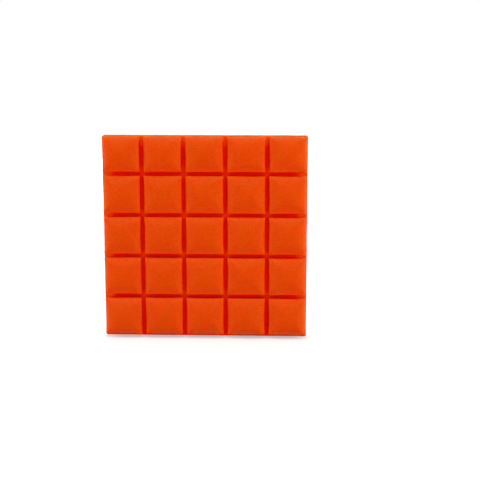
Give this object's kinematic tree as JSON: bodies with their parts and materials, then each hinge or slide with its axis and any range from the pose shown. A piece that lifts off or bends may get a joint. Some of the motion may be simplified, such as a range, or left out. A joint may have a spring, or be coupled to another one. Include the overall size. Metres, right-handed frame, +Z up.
{
  "type": "acoustic foam wall panel",
  "caption": "Square orange open-cell foam absorber for a studio wall, with rows of undercut pillow-topped foam blocks on a thin slab.",
  "frame": {"origin": "centre of the slab's flat back face, in the plane of the wall that it is glued to", "axes": "+Y out of the back face into the wall, so the blocks face -Y; +Z up the wall; +X to the right as seen from the front"},
  "size_m": [0.25, 0.03, 0.25],
  "materials": {
    "foam": "matte open-cell cut foam"
  },
  "bodies": {
    "root": {"base_slab": "foam", "block_r1_c1": "foam", "block_r1_c2": "foam", "block_r1_c3": "foam", "block_r1_c4": "foam", "block_r1_c5": "foam", "block_r2_c1": "foam", "block_r2_c2": "foam", "block_r2_c3": "foam", "block_r2_c4": "foam", "block_r2_c5": "foam", "block_r3_c1": "foam", "block_r3_c2": "foam", "block_r3_c3": "foam", "block_r3_c4": "foam", "block_r3_c5": "foam", "block_r4_c1": "foam", "block_r4_c2": "foam", "block_r4_c3": "foam", "block_r4_c4": "foam", "block_r4_c5": "foam", "block_r5_c1": "foam", "block_r5_c2": "foam", "block_r5_c3": "foam", "block_r5_c4": "foam", "block_r5_c5": "foam"}
  },
  "joints": []
}
